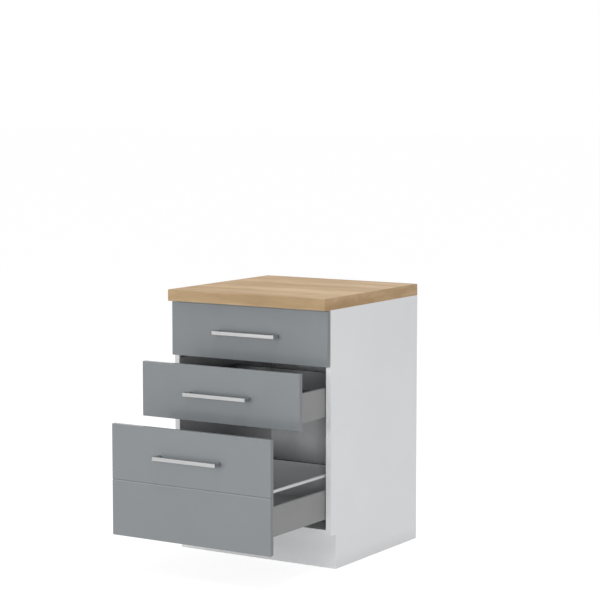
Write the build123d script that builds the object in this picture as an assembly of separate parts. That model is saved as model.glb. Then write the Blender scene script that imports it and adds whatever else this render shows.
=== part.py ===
"""Base cabinet with three drawers, a white carcass, grey fronts and an oak worktop.

Millimetres. +X is the cabinet's right, +Y its back, +Z up. The origin is the centre of
its 600 x 600 footprint on the floor. The drawers lie as the cabinet stands in use: the
top one shut, the middle one part open and the bottom one open further.
"""
import os

from build123d import *

# ---------------------------------------------------------------- driving dimensions
width = 600.0                 # over the side panels and over the worktop
depth = 600.0                 # over the worktop
height = 870.0                # floor to worktop surface
worktop_thickness = 38.0
worktop_round = 3.0           # rounding of the worktop's front edges
end_strip = 1.0               # edging glued on the worktop's two ends

board = 18.0                  # carcass boards
toe_height = 112.0            # floor to the underside of the bottom panel
toe_depth = 32.0              # how far the side panels are cut back at the toe
back_sheet = 3.0              # hardboard back, let into a rebate of the side panels
rebate_width = 10.0
rail_height = 100.0           # the two boards that tie the side panels at the top

front_thickness = 16.0
front_overhang = 20.0         # worktop edge to the face of a shut front
front_gap = 2.0               # shut front to carcass, and front to front
front_side_inset = 2.0        # side panel's outer face to the front's edge
front_round = 1.0
module = 180.0                # height of one drawer place; the bottom one takes two
groove_width = 6.0            # milled line that splits the tall front in two
groove_depth = 2.0

open_distance = {1: 0.0, 2: 165.0, 3: 330.0}     # how far each drawer stands out

box_length = 500.0            # steel side of a drawer, front to back
side_clearance = 3.0          # carcass wall to the drawer's steel side
side_width = 14.0             # hollow steel side, over both walls
side_height = 93.0
side_sheet = 1.0
side_round = 5.0              # bend along the top of the steel side
seat_level = 10.0             # underside of the flange that carries the drawer bottom
seat_width = 18.0
box_board = 16.0              # drawer bottom and back
box_base = {1: 671.0, 2: 491.0, 3: 164.0}      # lower edge of the steel sides
back_top = {1: 91.0, 2: 91.0, 3: 141.0}        # drawer back's top edge above that

handle_centres = 224.0        # between the two screws
handle_section = 12.0
handle_projection = 35.0      # face of the front to the outside of the bar
handle_round = 0.8
handle_height = {1: 740.0, 2: 560.0, 3: 380.0}

rod_diameter = 10.0           # gallery rail over each steel side of the bottom drawer
rod_level = 138.5             # its axis above the side's lower edge

runner_length = 480.0
runner_setback = 4.0          # carcass front edge to the runners' front ends
runner_sheet = 1.2
wall_flange = 28.0

dowel_diameter = 8.0
dowel_length = 36.0
fit_gap = 0.1                 # round fasteners in their holes, per side
wood_screw_radius = 1.75      # the drawers' chipboard screws
wood_head_radius = 3.5
wood_head = 1.8
small_head_radius = 3.3       # heads that sit inside a hollow side or a rail holder

# ---------------------------------------------------------------- worked-out places
half = width / 2
worktop_front = -depth / 2
carcass_back = depth / 2
face_shut = worktop_front + front_overhang
rear_shut = face_shut + front_thickness
carcass_front = rear_shut + front_gap
toe_front = carcass_front + toe_depth
carcass_top = height - worktop_thickness
inner = half - board                        # inner face of a side panel
floor_top = toe_height + board              # top of the bottom panel
back_face = carcass_back - back_sheet       # inner face of the hardboard back
rail_under = carcass_top - board
upright_face = back_face - board            # front face of the upright rear rail
wall_hole_spacing = 400.0
wall_hole_radius = 2.5
wall_hole_level = carcass_top - rail_height / 2

box_half = inner - side_clearance - side_width     # half the clear width of a drawer
seat_top = seat_level + side_sheet
hollow_middle = inner - side_clearance - side_width / 2
front_half = half - front_side_inset
front_bottom = {
    1: carcass_top - module + front_gap / 2,
    2: carcass_top - 2 * module + front_gap / 2,
    3: toe_height + front_gap,
}
front_top = {
    1: carcass_top - 1.5 * front_gap,
    2: carcass_top - module - front_gap / 2,
    3: carcass_top - 2 * module - front_gap / 2,
}
groove_level = toe_height + module

DRAWERS = (1, 2, 3)
HANDS = ("left", "right")


# ---------------------------------------------------------------- helpers
def block(x0, x1, y0, y1, z0, z1):
    """A box given by its two corners, in any order."""
    size = (abs(x1 - x0), abs(y1 - y0), abs(z1 - z0))
    return Pos((x0 + x1) / 2, (y0 + y1) / 2, (z0 + z1) / 2) * Box(*size)


def rod(start, axis, length, radius):
    """A cylinder from start, along the unit vector axis."""
    plane = Plane(origin=start, z_dir=axis)
    centred = (Align.CENTER, Align.CENTER, Align.MIN)
    return plane * Cylinder(radius, length, align=centred)


def section_bar(outline, y0, y1):
    """An outline in X and Z, extruded from y0 to y1."""
    return Pos(0, y0, 0) * extrude(Plane.XZ * outline, amount=-(y1 - y0))


def rectangle(x0, x1, z0, z1):
    """A flat rectangle in X and Z, for section_bar."""
    return Pos((x0 + x1) / 2, (z0 + z1) / 2) * Rectangle(abs(x1 - x0), abs(z1 - z0))


def both_hands(shape):
    """The shape and its mirror image on the cabinet's left."""
    return [shape, mirror(shape, about=Plane.YZ)]


def by_hand(shape, hand):
    """A right-hand shape, or its mirror image for the left."""
    return shape if hand == "right" else mirror(shape, about=Plane.YZ)


def screw(start, axis, length, radius, head_radius, head):
    """A screw whose head lies on a surface at start; the shank runs along axis."""
    outward = Plane(origin=start, z_dir=tuple(-a for a in axis))
    centred = (Align.CENTER, Align.CENTER, Align.MIN)
    pan = outward * Cone(head_radius, head_radius * 0.75, head, align=centred)
    return pan + rod(start, axis, length, radius)


def screw_hole(start, axis, length, radius):
    """The hole for a screw's shank, open at both ends of its length."""
    before = tuple(s - a * 0.5 for s, a in zip(start, axis))
    return rod(before, axis, length + 0.5 + fit_gap, radius + fit_gap)


def drill(shape, tools):
    """The shape with every tool taken out of it."""
    for tool in tools:
        shape = shape - tool
    return shape


# ---------------------------------------------------------------- carcass fasteners
dowel_depth_in_side = 12.0
floor_dowels_y = (-130.0, 150.0)
rail_dowel_edge = 25.0        # a top rail's edge to its dowel
plinth_dowels_z = (30.0, 85.0)
cam_radius = 7.5
cam_height = 12.5
cam_reach = 34.0              # board end to the cam's axis
floor_cams_y = (-200.0, 230.0)
rail_cam_edge = 70.0          # a top rail's edge to its cam
bolt_radius = 3.0
bolt_depth_in_side = 11.0
bolt_short = 3.0              # the bolt's tip stops this far before the cam's axis


def dowel_places():
    """Y and Z of every wooden dowel between a side panel and a board's end."""
    middle_of_floor = toe_height + board / 2
    middle_of_rail = carcass_top - board / 2
    middle_of_plinth = toe_front + board / 2
    middle_of_upright = upright_face + board / 2
    places = [(y, middle_of_floor) for y in floor_dowels_y]
    places += [(middle_of_plinth, z) for z in plinth_dowels_z]
    places.append((carcass_front + rail_dowel_edge, middle_of_rail))
    places.append((middle_of_upright, carcass_top - rail_dowel_edge))
    return places


def dowels(radius, length):
    """The right-hand dowels; the left-hand ones mirror them."""
    start = inner + dowel_depth_in_side - (dowel_length - length) / 2
    return [rod((start, y, z), (-1, 0, 0), length, radius) for y, z in dowel_places()]


def cam_places():
    """Y, Z and cam axis of every cam fitting, and the level where its cam starts."""
    up, back = (0, 0, 1), (0, 1, 0)
    places = [(y, toe_height + board / 2, up, toe_height) for y in floor_cams_y]
    places.append((carcass_front + rail_cam_edge, carcass_top - board / 2, up, rail_under))
    places.append((upright_face + board / 2, carcass_top - rail_cam_edge, back, upright_face))
    return places


def cam_bolt(y, z, gap):
    """A steel bolt screwed into the side panel, its neck held by the cam."""
    start = (inner + bolt_depth_in_side + gap, y, z)
    length = bolt_depth_in_side + cam_reach - bolt_short + 2 * gap
    return rod(start, (-1, 0, 0), length, bolt_radius + gap)


def cam_drum(y, z, axis, level, gap):
    """The round zinc cam, let into the board's face."""
    x = inner - cam_reach
    start = (x, y, level) if axis[2] else (x, level, z)
    return rod(start, axis, cam_height + gap, cam_radius + gap)


def cam_fittings():
    """Every bolt, and every cam with the hole that takes its bolt."""
    solids = []
    for y, z, axis, level in cam_places():
        drum = cam_drum(y, z, axis, level, 0) - cam_bolt(y, z, fit_gap)
        solids += both_hands(cam_bolt(y, z, 0)) + both_hands(drum)
    return solids


def side_drillings():
    """The holes of dowels and bolts in the right-hand side panel and the board ends."""
    holes = dowels(dowel_diameter / 2 + fit_gap, dowel_length + 2 * fit_gap)
    for y, z, axis, level in cam_places():
        holes.append(cam_bolt(y, z, fit_gap))
    return holes


def board_drillings():
    """Holes for dowels, bolts and cams, at both ends of the boards."""
    holes = side_drillings()
    for y, z, axis, level in cam_places():
        holes.append(cam_drum(y, z, axis, level, fit_gap))
    return [hole for right in holes for hole in both_hands(right)]


nail_radius = 0.8
nail_length = 17.0
nail_head = 1.0
nail_head_radius = 2.5
side_nail_first = 60.0        # the lowest side nail above the toe, and the next ones above it
side_nail_pitch = 150.0
floor_nails_x = (-200.0, 0.0, 200.0)
rail_nails_x = (-120.0, 120.0)
rail_nail_edge = 12.0


def nail_places():
    """X and Z of the nails that hold the hardboard back."""
    edge_line = inner + rebate_width * 0.4
    levels = [toe_height + side_nail_first + side_nail_pitch * i for i in range(5)]
    places = [(side * edge_line, z) for side in (-1, 1) for z in levels]
    places += [(x, toe_height + board / 2) for x in floor_nails_x]
    places += [(x, carcass_top - rail_nail_edge) for x in rail_nails_x]
    return places


def nails(gap):
    """The nails, heads flush with the back; a gap makes the holes for them."""
    solids = []
    for x, z in nail_places():
        shank = rod((x, carcass_back, z), (0, -1, 0), nail_length + gap, nail_radius + gap)
        head = rod((x, carcass_back, z), (0, -1, 0), nail_head + gap, nail_head_radius + gap)
        solids.append(shank + head)
    return solids


# ---------------------------------------------------------------- runners
screw_radius = 2.0
screw_head_radius = 4.0
screw_head = 2.2
runner_front = carcass_front + runner_setback
runner_screw_places = (40.0, 296.0)          # from the runner's front end
runner_screw_level = -18.0
runner_screw_length = 12.5

track_gap = 1.8                              # room of a ball row between two members
fixed_back = 5.0                             # carcass wall to the fixed member's C
fixed_lip = 8.4
middle_back = 7.4                            # carcass wall to the travelling member's C
middle_lip = 7.0
drawer_lip = 7.2                             # lips of the track in the drawer side
drawer_track_low = 12.0                      # lower lip above the side's lower edge
drawer_track_high = 31.2
web_drop = 2.0                               # the fixed member's web below the drawer side
flange_sheet = 1.5


def channel(back_x, mouth_x, low, high):
    """A C section: its back, and a lip at the bottom and the top towards the mouth."""
    toward = 1 if mouth_x > back_x else -1
    back = rectangle(back_x, back_x + toward * runner_sheet, low, high)
    foot = rectangle(back_x, mouth_x, low, low + runner_sheet)
    head = rectangle(back_x, mouth_x, high - runner_sheet, high)
    return back + foot + head


def runner_cabinet(k):
    """The fixed member: a wall flange, a web under the drawer side and a C inside it."""
    base = box_base[k]
    low = base + drawer_track_low - 2 * (track_gap + runner_sheet)
    high = base + drawer_track_high + 2 * (track_gap + runner_sheet)
    back = inner - fixed_back
    under = base - web_drop
    profile = channel(back, back - fixed_lip, low, high)
    profile += rectangle(back, back - runner_sheet, under - runner_sheet, high)
    profile += rectangle(inner, back - runner_sheet, under - runner_sheet, under)
    profile += rectangle(inner, inner - flange_sheet, under - wall_flange, under)
    bar = section_bar(profile, runner_front, runner_front + runner_length)
    return drill(bar, runner_screw_holes(k))


def runner_middle(k):
    """The travelling member between the fixed one and the drawer side's own track."""
    base = box_base[k]
    low = base + drawer_track_low - track_gap - runner_sheet
    high = base + drawer_track_high + track_gap + runner_sheet
    back = inner - middle_back
    profile = channel(back, back - middle_lip, low, high)
    shift = -open_distance[k] / 2
    return section_bar(profile, runner_front + shift, runner_front + runner_length + shift)


def runner_screw_starts(k):
    """Where the heads of one fixed member's right-hand screws lie."""
    level = box_base[k] + runner_screw_level
    return [(inner - flange_sheet, runner_front + y, level) for y in runner_screw_places]


def runner_screws(k):
    """The two right-hand screws of one fixed member."""
    sizes = (runner_screw_length, screw_radius, screw_head_radius, screw_head)
    return [screw(start, (1, 0, 0), *sizes) for start in runner_screw_starts(k)]


def runner_screw_holes(k):
    """The holes of those screws, through the flange and into the side panel."""
    return [screw_hole(start, (1, 0, 0), runner_screw_length, screw_radius)
            for start in runner_screw_starts(k)]


# ---------------------------------------------------------------- carcass boards
def side_panel():
    """The right-hand side: down to the floor, cut back at the toe, rebated at the rear."""
    panel = block(inner, half, carcass_front, carcass_back, 0, carcass_top)
    panel -= block(inner - 1, half + 1, carcass_front - 1, toe_front, -1, toe_height)
    rebate = inner + rebate_width
    panel -= block(inner - 1, rebate, back_face, carcass_back + 1, toe_height, carcass_top + 1)
    tools = side_drillings() + nails(fit_gap)
    for k in DRAWERS:
        tools += runner_screw_holes(k)
    return drill(panel, tools)


def bottom_panel():
    """The cabinet's floor, with its holes at both ends."""
    panel = block(-inner, inner, carcass_front, back_face, toe_height, floor_top)
    return drill(panel, board_drillings() + nails(fit_gap))


worktop_screw_places = [(x, carcass_front + rail_height / 2) for x in (-180.0, 180.0)]
worktop_screw_length = 38.0
angle_places = (-140.0, 140.0)
angle_leg = 30.0
angle_width = 24.0
angle_sheet = 1.5
angle_hole = angle_leg * 0.6                 # the corner to a screw, on either leg
angle_screw_up = 18.0
angle_screw_back = 14.0


def top_rail_front():
    """The flat board behind the top drawer's front."""
    rail = block(-inner, inner, carcass_front, carcass_front + rail_height, rail_under, carcass_top)
    holes = [screw_hole((x, y, rail_under), (0, 0, 1), board + 1, screw_radius)
             for x, y in worktop_screw_places]
    return drill(rail, board_drillings() + holes)


def top_rail_back():
    """The upright board at the wall, with two holes for wall screws."""
    rail = block(-inner, inner, upright_face, back_face, carcass_top - rail_height, carcass_top)
    return drill(rail, board_drillings() + nails(fit_gap) + wall_holes() + angle_holes())


def wall_holes():
    """Two round holes through the rear rail and the hardboard."""
    reach = board + back_sheet + 2
    ends = (-wall_hole_spacing / 2, wall_hole_spacing / 2)
    return [rod((x, upright_face - 1, wall_hole_level), (0, 1, 0), reach, wall_hole_radius)
            for x in ends]


def back_panel():
    """The hardboard sheet in the rebate."""
    reach = inner + rebate_width
    sheet = block(-reach, reach, back_face, carcass_back, toe_height, carcass_top)
    return drill(sheet, nails(fit_gap) + wall_holes())


def plinth_board():
    """The toe board between the side panels."""
    plinth = block(-inner, inner, toe_front, toe_front + board, 0, toe_height)
    return drill(plinth, board_drillings())


def worktop_board():
    """The oak worktop with its two front edges rounded."""
    reach = half - end_strip
    top = block(-reach, reach, worktop_front, carcass_back, carcass_top, height)
    along_front = top.faces().sort_by(Axis.Y)[0].edges().filter_by(Axis.X)
    top = fillet(along_front, worktop_round)
    return drill(top, worktop_screw_holes())


def worktop_end_strips():
    """The edging on both ends, rounded as the worktop is."""
    strip = block(half - end_strip, half, worktop_front, carcass_back, carcass_top, height)
    along_front = strip.faces().sort_by(Axis.Y)[0].edges().filter_by(Axis.X)
    return both_hands(fillet(along_front, worktop_round))


def worktop_screw_starts():
    """Where each worktop screw's head lies, its axis and its length."""
    up = (0, 0, 1)
    starts = [((x, y, rail_under), up, worktop_screw_length) for x, y in worktop_screw_places]
    for x in angle_places:
        head = (x, upright_face - angle_hole, carcass_top - angle_sheet)
        starts.append((head, up, angle_screw_up))
    return starts


def angle_screw_starts():
    """The screws that hold the angles on the rear rail."""
    y, z = upright_face - angle_sheet, carcass_top - angle_hole
    return [((x, y, z), (0, 1, 0), angle_screw_back) for x in angle_places]


def worktop_screws():
    """All screws of the worktop and of its angles."""
    starts = worktop_screw_starts() + angle_screw_starts()
    return [screw(s, a, n, screw_radius, screw_head_radius, screw_head) for s, a, n in starts]


def worktop_screw_holes():
    """The holes of the upward screws."""
    return [screw_hole(s, a, n, screw_radius) for s, a, n in worktop_screw_starts()]


def angle_holes():
    """The holes of the screws into the rear rail."""
    return [screw_hole(s, a, n, screw_radius) for s, a, n in angle_screw_starts()]


def worktop_angles():
    """Two steel angles that hold the worktop to the rear rail."""
    solids = []
    for x in angle_places:
        x0, x1 = x - angle_width / 2, x + angle_width / 2
        y0, z0 = upright_face - angle_leg, carcass_top - angle_leg
        angle = block(x0, x1, y0, upright_face, carcass_top - angle_sheet, carcass_top)
        angle += block(x0, x1, upright_face - angle_sheet, upright_face, z0, carcass_top)
        solids.append(drill(angle, worktop_screw_holes() + angle_holes()))
    return solids


# ---------------------------------------------------------------- drawers
handle_screw_radius = 2.0
handle_screw_depth = 11.0
bracket_sheet = 1.5
bracket_low = 42.0
bracket_high = 88.0
bracket_tab = 40.0
bracket_screw_levels = (52.0, 78.0)
bracket_screw_length = 12.0
bracket_play = 0.3            # front bracket to the far wall of the hollow side
corner_leg = 20.0
corner_low = 27.0
corner_high = 80.0
corner_screw_levels = (42.0, 66.0)
corner_hole = 11.0            # the drawer's corner to the screws of its rear bracket
seat_screw_places = (60.0, 180.0, 300.0, 420.0)
seat_screw_length = 12.0
holder_low = 130.0
holder_high = 147.0
holder_depth = 14.0
holder_round = 3.0


def rear_of_front(k):
    """Y of the front's inner face, where the drawer now stands."""
    return rear_shut - open_distance[k]


def back_of_box(k):
    """Y of the drawer's rear end."""
    return rear_of_front(k) + box_length


def handle_holes(k):
    """The handle's two screw holes, from the drawer's inside."""
    start = rear_of_front(k)
    reach = front_thickness + handle_screw_depth + 1
    return [screw_hole((x, start, handle_height[k]), (0, -1, 0), reach, handle_screw_radius)
            for x in (-handle_centres / 2, handle_centres / 2)]


def drawer_front(k):
    """A lacquered front; the tall one has a milled line halfway up."""
    rear = rear_of_front(k)
    face = rear - front_thickness
    panel = block(-front_half, front_half, face, rear, front_bottom[k], front_top[k])
    panel = fillet(panel.faces().sort_by(Axis.Y)[0].edges(), front_round)
    if k == 3:
        over = 1.0            # the cutter starts this far off the face, on the groove's slopes
        wing = groove_width / 2 * (1 + over / groove_depth)
        notch = Polyline(
            (face - over, groove_level - wing),
            (face + groove_depth, groove_level),
            (face - over, groove_level + wing),
            close=True,
        )
        cutter = extrude(Plane.YZ * make_face(notch), amount=width, both=True)
        panel -= cutter
    return drill(panel, handle_holes(k) + front_bracket_screw_holes(k) + rail_screw_holes(k))


def drawer_handle(k):
    """A square bar bent back at both ends to meet the front."""
    face = rear_of_front(k) - front_thickness
    reach = (handle_centres + handle_section) / 2
    low = handle_height[k] - handle_section / 2
    high = handle_height[k] + handle_section / 2
    bow = block(-reach, reach, face - handle_projection, face, low, high)
    bow -= block(handle_section - reach, reach - handle_section,
                 face - handle_projection + handle_section, face + 1, low - 1, high + 1)
    outside = bow.edges().filter_by(lambda e: e.center().Y < face - 0.01)
    bow = fillet(outside, handle_round)
    return drill(bow, handle_holes(k))


def handle_screws(k):
    """Two machine screws through the front into the handle."""
    start = rear_of_front(k)
    reach = front_thickness + handle_screw_depth
    return [screw((x, start, handle_height[k]), (0, -1, 0), reach, handle_screw_radius,
                  screw_head_radius, screw_head)
            for x in (-handle_centres / 2, handle_centres / 2)]


def drawer_side(k):
    """The right-hand steel side: a hollow wall, a seat for the bottom and a track."""
    base = box_base[k]
    outside = inner - side_clearance
    inside = box_half
    wall = rectangle(inside, outside, base, base + side_height)
    wall = fillet(wall.vertices().group_by(Axis.Y)[-1], side_round)
    hollow = rectangle(inside + side_sheet, outside - side_sheet, base - side_height,
                       base + side_height - side_sheet)
    hollow = fillet(hollow.vertices().group_by(Axis.Y)[-1], side_round - side_sheet)
    profile = wall - hollow
    profile -= rectangle(inside - 1, inside + side_sheet + 1, base - 1, base + seat_level)
    profile += rectangle(inside - seat_width, inside + side_sheet,
                         base + seat_level, base + seat_top)
    for level in (drawer_track_low, drawer_track_high - runner_sheet):
        profile += rectangle(inside, inside + drawer_lip,
                             base + level, base + level + runner_sheet)
    bar = section_bar(profile, rear_of_front(k), back_of_box(k))
    return drill(bar, seat_screw_holes(k))


def seat_screw_starts(k):
    """The screws up through the right-hand seat into the drawer bottom."""
    x = box_half - seat_width / 2
    return [(x, rear_of_front(k) + y, box_base[k] + seat_level) for y in seat_screw_places]


def seat_screws(k):
    """The right-hand seat screws."""
    sizes = (seat_screw_length, wood_screw_radius, wood_head_radius, wood_head)
    return [screw(start, (0, 0, 1), *sizes) for start in seat_screw_starts(k)]


def seat_screw_holes(k):
    """The right-hand seat screws' holes."""
    return [screw_hole(start, (0, 0, 1), seat_screw_length, wood_screw_radius)
            for start in seat_screw_starts(k)]


def drawer_bottom(k):
    """The board on the two seats."""
    low = box_base[k] + seat_top
    rear = rear_of_front(k)
    panel = block(-box_half, box_half, rear, rear + box_length - box_board, low, low + box_board)
    return drill(panel, [h for right in seat_screw_holes(k) for h in both_hands(right)])


def drawer_back(k):
    """The upright board between the steel sides."""
    base = box_base[k]
    end = back_of_box(k)
    panel = block(-box_half, box_half, end - box_board, end, base + seat_top, base + back_top[k])
    return drill(panel, [h for right in corner_screw_holes(k) for h in both_hands(right)])


def front_bracket(k):
    """The right-hand plate that joins the steel side to the front, inside the hollow."""
    base = box_base[k]
    rear = rear_of_front(k)
    low, high = base + bracket_low, base + bracket_high
    web = box_half + side_sheet
    reach = web + side_width - 2 * side_sheet - bracket_play
    plate = block(web, reach, rear, rear + bracket_sheet, low, high)
    plate += block(web, web + bracket_sheet, rear, rear + bracket_tab, low, high)
    return drill(plate, front_bracket_screw_holes(k, both=False))


def front_bracket_screw_starts(k):
    """Where the heads of the right-hand bracket's screws lie."""
    y = rear_of_front(k) + bracket_sheet
    return [(hollow_middle + 0.8, y, box_base[k] + level) for level in bracket_screw_levels]


def front_bracket_screws(k):
    """The right-hand bracket's screws."""
    sizes = (bracket_screw_length, wood_screw_radius, small_head_radius, wood_head)
    return [screw(start, (0, -1, 0), *sizes) for start in front_bracket_screw_starts(k)]


def front_bracket_screw_holes(k, both=True):
    """Their holes, on the right or on both hands."""
    right = [screw_hole(start, (0, -1, 0), bracket_screw_length, wood_screw_radius)
             for start in front_bracket_screw_starts(k)]
    return [h for r in right for h in both_hands(r)] if both else right


def back_bracket(k):
    """The right-hand angle in the corner of the steel side and the drawer back."""
    base = box_base[k]
    end = back_of_box(k) - box_board
    low, high = base + corner_low, base + corner_high
    angle = block(box_half - bracket_sheet, box_half, end - corner_leg, end, low, high)
    angle += block(box_half - corner_leg, box_half, end - bracket_sheet, end, low, high)
    return drill(angle, corner_screw_holes(k))


def corner_screw_starts(k):
    """Where the heads of the right-hand corner screws lie."""
    y = back_of_box(k) - box_board - bracket_sheet
    return [(box_half - corner_hole, y, box_base[k] + level) for level in corner_screw_levels]


def corner_screws(k):
    """The right-hand corner screws."""
    sizes = (bracket_screw_length, wood_screw_radius, wood_head_radius, wood_head)
    return [screw(start, (0, 1, 0), *sizes) for start in corner_screw_starts(k)]


def corner_screw_holes(k):
    """Their holes."""
    return [screw_hole(start, (0, 1, 0), bracket_screw_length, wood_screw_radius)
            for start in corner_screw_starts(k)]


def drawer_screws(k):
    """Every wood screw of one drawer."""
    right = seat_screws(k) + front_bracket_screws(k) + corner_screws(k)
    if k == 3:
        right += rail_screws(k)
    return [s for r in right for s in both_hands(r)]


# ---------------------------------------------------------------- gallery of the bottom drawer
rod_inset = 4.0               # the rod's front end off the drawer's front
holder_reach = 7.0            # the holders' half width
rail_screw_inset = 2.0        # the socket's screw head off the drawer's front
rail_head = 1.5
head_room = 3.0               # the well for that head, between the socket's wall and the rod


def gallery_rail(gap=0.0):
    """The right-hand round rail along the open side."""
    start = (hollow_middle, rear_of_front(3) + rod_inset - gap, box_base[3] + rod_level)
    length = box_length - 3 * rod_inset + 2 * gap
    return rod(start, (0, 1, 0), length, rod_diameter / 2 + gap)


def rail_holders():
    """A socket on the front and a post on the side's rear end, for each rail."""
    base = box_base[3]
    rear, end = rear_of_front(3), back_of_box(3)
    x0, x1 = hollow_middle - holder_reach, hollow_middle + holder_reach
    socket = block(x0, x1, rear, rear + holder_depth, base + holder_low, base + holder_high)
    socket = fillet(socket.edges().filter_by(Axis.Y), holder_round)
    low = base + side_height
    post = block(x0, x1, end - box_board, end, low, base + holder_high)
    post = fillet(post.edges().filter_by(Axis.Y).group_by(Axis.Z)[-1], holder_round)
    solids = []
    for piece in (socket, post):
        solids += both_hands(drill(piece, [gallery_rail(fit_gap)] + rail_screw_holes(3, False)))
    return solids


def rail_screw_starts():
    """The screws of the right-hand socket, from inside the rail's hole."""
    level = box_base[3] + rod_level
    return [(hollow_middle, rear_of_front(3) + rail_screw_inset, level)]


def rail_screws(k):
    """The right-hand socket's screw."""
    sizes = (bracket_screw_length, wood_screw_radius, small_head_radius, rail_head)
    return [screw(start, (0, -1, 0), *sizes) for start in rail_screw_starts()]


def rail_screw_holes(k, both=True):
    """Its hole in the socket and the front; no other front has one."""
    if k != 3:
        return []
    right = [screw_hole(start, (0, -1, 0), bracket_screw_length, wood_screw_radius)
             for start in rail_screw_starts()]
    right += [rod(start, (0, 1, 0), head_room, small_head_radius + fit_gap)
              for start in rail_screw_starts()]
    return [h for r in right for h in both_hands(r)] if both else right


# ---------------------------------------------------------------- the parts
def all_parts():
    """Every node's name with its solid, or with its list of like solids."""
    parts = {}
    for hand in HANDS:
        parts[f"side_panel_{hand}"] = by_hand(side_panel(), hand)
    parts["bottom_panel"] = bottom_panel()
    parts["top_rail_front"] = top_rail_front()
    parts["top_rail_back"] = top_rail_back()
    parts["back_panel"] = back_panel()
    parts["plinth_board"] = plinth_board()
    parts["worktop_board"] = worktop_board()
    parts["worktop_end_strips"] = worktop_end_strips()
    parts["worktop_screws"] = worktop_screws()
    parts["worktop_angles"] = worktop_angles()
    parts["carcass_dowels"] = [s for right in dowels(dowel_diameter / 2, dowel_length)
                               for s in both_hands(right)]
    parts["cam_fittings"] = cam_fittings()
    parts["back_panel_nails"] = nails(0)
    parts["runner_screws"] = [s for k in DRAWERS for right in runner_screws(k)
                              for s in both_hands(right)]
    for k in DRAWERS:
        for hand in HANDS:
            parts[f"runner_{k}_cabinet_{hand}"] = by_hand(runner_cabinet(k), hand)
            parts[f"runner_{k}_middle_{hand}"] = by_hand(runner_middle(k), hand)
            parts[f"drawer_{k}_side_{hand}"] = by_hand(drawer_side(k), hand)
        parts[f"drawer_{k}_front"] = drawer_front(k)
        parts[f"drawer_{k}_handle"] = drawer_handle(k)
        parts[f"drawer_{k}_handle_screws"] = handle_screws(k)
        parts[f"drawer_{k}_bottom"] = drawer_bottom(k)
        parts[f"drawer_{k}_back"] = drawer_back(k)
        parts[f"drawer_{k}_front_brackets"] = both_hands(front_bracket(k))
        parts[f"drawer_{k}_back_brackets"] = both_hands(back_bracket(k))
        parts[f"drawer_{k}_screws"] = drawer_screws(k)
    for hand in HANDS:
        parts[f"gallery_rail_{hand}"] = by_hand(gallery_rail(), hand)
    parts["gallery_rail_holders"] = rail_holders()
    return parts


os.makedirs("parts", exist_ok=True)
for name, shape in all_parts().items():
    whole = Compound(children=shape) if isinstance(shape, list) else shape
    export_step(whole, f"parts/{name}.step")
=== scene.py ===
"""The looks of a base cabinet: white melamine carcass, glossy grey drawer fronts, oak worktop.

Metres, in the cabinet's own frame: +X its right, +Y its back, +Z up, the origin on the floor
under the middle of the worktop. Boards, runners and brackets keep their built shape and get
their finish here. Fronts, bars, steel sides, rails, worktop, edge bands and screw heads are
surfaces worked out below.
"""

import bmesh
import bpy
import numpy as np
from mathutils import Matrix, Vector


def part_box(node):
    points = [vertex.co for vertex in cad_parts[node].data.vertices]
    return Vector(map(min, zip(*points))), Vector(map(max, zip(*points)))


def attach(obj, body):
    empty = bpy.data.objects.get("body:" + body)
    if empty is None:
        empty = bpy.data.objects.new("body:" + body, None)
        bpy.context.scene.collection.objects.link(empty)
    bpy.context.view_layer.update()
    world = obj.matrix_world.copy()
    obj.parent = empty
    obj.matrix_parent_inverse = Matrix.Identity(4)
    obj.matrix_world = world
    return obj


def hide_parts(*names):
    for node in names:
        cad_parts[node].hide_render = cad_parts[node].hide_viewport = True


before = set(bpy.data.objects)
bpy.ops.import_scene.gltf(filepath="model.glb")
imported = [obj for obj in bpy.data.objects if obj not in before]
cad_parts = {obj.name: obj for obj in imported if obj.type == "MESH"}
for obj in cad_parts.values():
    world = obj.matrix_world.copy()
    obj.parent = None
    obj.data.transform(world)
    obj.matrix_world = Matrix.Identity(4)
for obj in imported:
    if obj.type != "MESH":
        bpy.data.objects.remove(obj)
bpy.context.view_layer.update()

DRAWERS = (1, 2, 3)
HANDS = {"left": -1, "right": 1}
DOWN, FORWARD, BACKWARD, INWARD = (0, 0, -1), (0, -1, 0), (0, 1, 0), (-1, 0, 0)

# ---------------------------------------------------------------- sizes of the worked-out pieces
front_round = 0.0010          # edges of a lacquered front
groove_half_width = 0.0030    # milled line across the tall front
groove_depth = 0.0020
groove_level = 0.292
bar_section = 0.012           # square bar of the handles
bar_round = 0.0008
worktop_round = 0.003
worktop_back_round = 0.0005
edge_band = 0.0004            # how far an edge band stands proud of its board
steel_sheet = 0.001           # sheet of the drawer sides
side_bend = 0.0045            # middle line of the bends along a side's top
seat_bend = 0.0008            # middle line of the bend to its seat flange
seat_flange = 0.018
seat_level = 0.0105           # middle line of that flange above the side's lower edge
side_width = 0.014
track_lips = (0.0126, 0.0306)  # levels of the ball track's lips above the side's lower edge
track_lip_reach = 0.0072
track_lip_sheet = 0.0012
track_lip_round = 0.0004
strip_round = 0.0003          # long corners of edge bands and edgings
strip_rim = 0.0002            # their ends
strip_inset = 0.0001          # a drawer back's face to its edging
band_lap = 0.0005             # how far a band reaches over its board's edge
end_rim = 0.0004              # outer rim of the worktop's end edging
rail_rim = 0.001              # ends of the gallery rails
broad_screw = {"head": 0.0040, "height": 0.0022, "shank": 0.00200}
wood_screw = {"head": 0.0035, "height": 0.0018, "shank": 0.00175}
slim_screw = {"head": 0.0033, "height": 0.0018, "shank": 0.00175}
cam_face = {"head": 0.0074, "height": 0.0004, "shank": 0.00300}
cam_depth = 0.007             # how far a cam's face reaches into its hole
cam_reach = 0.034             # a board's end to the middle of its cams
cam_places = (-0.200, 0.230)  # along the bottom panel
rail_cam_reach = 0.070        # a top rail's long edge to its cams
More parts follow.
